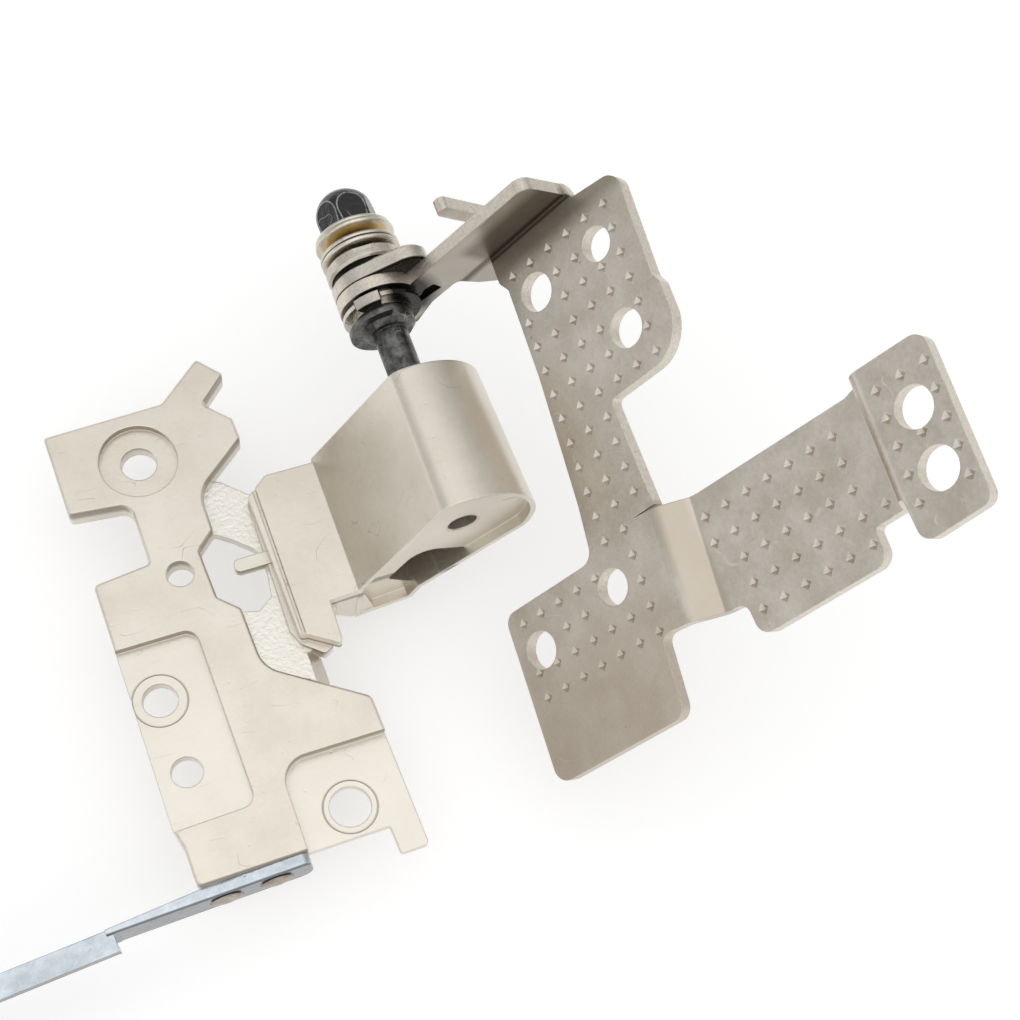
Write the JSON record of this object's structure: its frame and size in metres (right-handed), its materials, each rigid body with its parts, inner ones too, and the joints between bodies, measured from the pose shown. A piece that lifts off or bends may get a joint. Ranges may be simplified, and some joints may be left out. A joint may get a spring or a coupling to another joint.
{
  "type": "laptop hinge",
  "caption": "Friction hinge for a laptop screen: cast lid plate with a drum, a shaft with a spring stack, a dimpled base bracket and a riveted screen rail.",
  "frame": {"origin": "on the hinge axis, in the plane of the drum's open end", "axes": "+X along the shaft toward the drum's open end, +Z square to the lid plate's face, +Y across it toward the base bracket"},
  "size_m": [0.0501, 0.1032, 0.0402],
  "materials": {
    "nickel_zinc": "satin champagne nickel plate on a zinc alloy casting",
    "black_oxide_steel": "dark grey oxide, turned",
    "bright_steel": "bright nickel plate",
    "nickel_sheet": "warm grey nickel plate on pressed steel",
    "spring_steel": "nickel plate with golden oil film",
    "black_nut": "gloss black with thread lock",
    "blue_zinc": "bluish bright zinc plate",
    "nickel_rivet": "warm nickel, peened"
  },
  "bodies": {
    "lid_side": {"lid_bracket": "nickel_zinc", "shaft": "black_oxide_steel", "stop_ring": "bright_steel", "spacer_washer": "bright_steel", "cam_ring": "bright_steel", "disc_spring_1": "spring_steel", "disc_spring_2": "spring_steel", "disc_spring_3": "spring_steel", "end_washer": "bright_steel", "lock_nut": "black_nut", "rail": "blue_zinc", "rivet_1": "nickel_rivet", "rivet_2": "nickel_rivet"},
    "base_side": {"base_bracket": "nickel_sheet", "ear_washer": "bright_steel"}
  },
  "joints": [
    {"name": "hinge", "type": "hinge", "parent": "lid_side", "child": "base_side", "pos_m": [0, 0, 0], "axis": [1, 0, 0], "range_deg": [-17, 128]}
  ]
}
